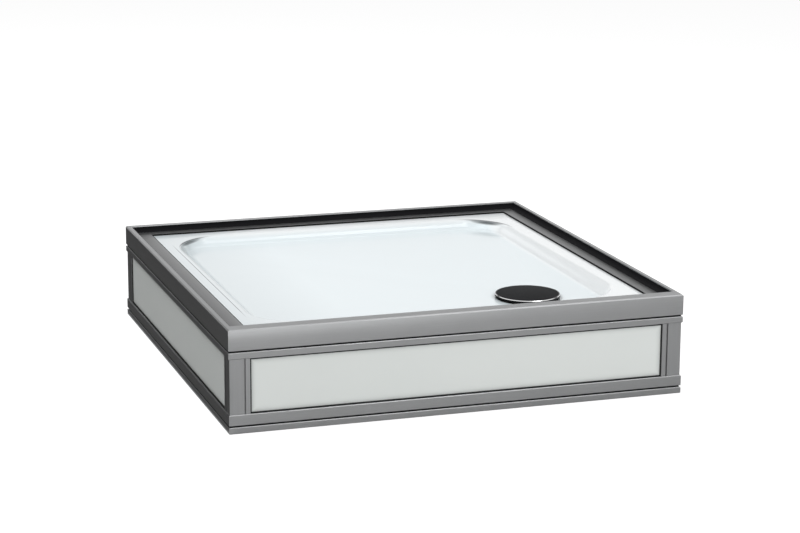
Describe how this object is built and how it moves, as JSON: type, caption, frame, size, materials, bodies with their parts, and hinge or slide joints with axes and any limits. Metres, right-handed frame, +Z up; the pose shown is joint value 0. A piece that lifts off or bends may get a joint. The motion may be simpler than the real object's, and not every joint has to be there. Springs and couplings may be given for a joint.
{
  "type": "shower tray",
  "caption": "Square low shower tray in a framed aluminium base with glass aprons, wall rebates, a lift-off drain cover, a trap and levelling feet.",
  "frame": {"origin": "floor level, in the middle of the square base", "axes": "+X to the right along the front side, +Y from the front to the back, +Z up"},
  "size_m": [0.8, 0.8, 0.175],
  "materials": {
    "tray_acrylic": "gloss",
    "laminated_board": "bonded under the floor",
    "satin_aluminium": "satin anodised",
    "white_glass": "backed in pale grey-green",
    "glazing_rubber": "matt",
    "rebate_black": "satin",
    "seal_rubber": "matt",
    "bedding_foam": "matt",
    "groove_black": "matt",
    "cast_cleat": "as cast",
    "zinc_steel": "zinc plated",
    "catch_plastic": "matt",
    "waste_steel": "brushed",
    "trap_plastic": "matt",
    "insert_plastic": "matt",
    "cover_black": "satin black",
    "cover_chrome": "polished",
    "foot_plastic": "matt"
  },
  "bodies": {
    "tray_frame": {"tray_shell": "tray_acrylic", "underbody_board": "laminated_board", "upper_profile_front": "satin_aluminium", "mid_rail_front": "satin_aluminium", "bottom_rail_front": "satin_aluminium", "base_rail_front": "satin_aluminium", "upper_profile_right": "satin_aluminium", "mid_rail_right": "satin_aluminium", "bottom_rail_right": "satin_aluminium", "base_rail_right": "satin_aluminium", "stiles_right": "satin_aluminium", "glass_pane_right": "white_glass", "glazing_gasket_right": "glazing_rubber", "channel_liner_right": "rebate_black", "upper_profile_back": "satin_aluminium", "mid_rail_back": "satin_aluminium", "bottom_rail_back": "satin_aluminium", "base_rail_back": "satin_aluminium", "stiles_back": "satin_aluminium", "glass_pane_back": "white_glass", "glazing_gasket_back": "glazing_rubber", "channel_liner_back": "rebate_black", "upper_profile_left": "satin_aluminium", "mid_rail_left": "satin_aluminium", "bottom_rail_left": "satin_aluminium", "base_rail_left": "satin_aluminium", "stiles_left": "satin_aluminium", "glass_pane_left": "white_glass", "glazing_gasket_left": "glazing_rubber", "channel_liner_left": "rebate_black", "corner_post_front_left": "satin_aluminium", "corner_post_front_right": "satin_aluminium", "corner_post_back_right": "satin_aluminium", "corner_post_back_left": "satin_aluminium", "rim_seal": "seal_rubber", "waste_seals": "seal_rubber", "rim_bedding": "bedding_foam", "groove_strips": "groove_black", "corner_cleats": "cast_cleat", "post_screws": "zinc_steel", "tie_plates": "zinc_steel", "tie_screws": "zinc_steel", "foot_sockets": "zinc_steel", "panel_catches": "catch_plastic", "waste_flange": "waste_steel", "trap_body": "trap_plastic", "outlet_nut": "trap_plastic", "outlet_elbow": "trap_plastic"},
    "front_panel": {"glass_pane_front": "white_glass", "glazing_gasket_front": "glazing_rubber", "stiles_front": "satin_aluminium"},
    "drain_cover": {"drain_cover": "cover_black", "cover_ring": "cover_chrome"},
    "trap_insert": {"trap_insert": "insert_plastic", "hair_strainer": "insert_plastic"},
    "foot_front_left": {"levelling_foot_front_left": "foot_plastic"},
    "foot_front_right": {"levelling_foot_front_right": "foot_plastic"},
    "foot_back_right": {"levelling_foot_back_right": "foot_plastic"},
    "foot_back_left": {"levelling_foot_back_left": "foot_plastic"}
  },
  "joints": [
    {"name": "cover_lift", "type": "slide", "parent": "tray_frame", "child": "drain_cover", "axis": [0, 0, 1], "range_m": [0, 0.2]},
    {"name": "insert_lift", "type": "slide", "parent": "tray_frame", "child": "trap_insert", "axis": [0, 0, 1], "range_m": [0, 0.1]},
    {"name": "front_panel_pull", "type": "slide", "parent": "tray_frame", "child": "front_panel", "axis": [0, -1, 0], "range_m": [0, 0.06]},
    {"name": "foot_height_front_left", "type": "slide", "parent": "tray_frame", "child": "foot_front_left", "axis": [0, 0, 1], "range_m": [-0.01, 0.006]},
    {"name": "foot_height_front_right", "type": "slide", "parent": "tray_frame", "child": "foot_front_right", "axis": [0, 0, 1], "range_m": [-0.01, 0.006]},
    {"name": "foot_height_back_right", "type": "slide", "parent": "tray_frame", "child": "foot_back_right", "axis": [0, 0, 1], "range_m": [-0.01, 0.006]},
    {"name": "foot_height_back_left", "type": "slide", "parent": "tray_frame", "child": "foot_back_left", "axis": [0, 0, 1], "range_m": [-0.01, 0.006]}
  ],
  "couplings": [
    {"joint": "insert_lift", "follows": "cover_lift", "ratio": 0.5}
  ]
}
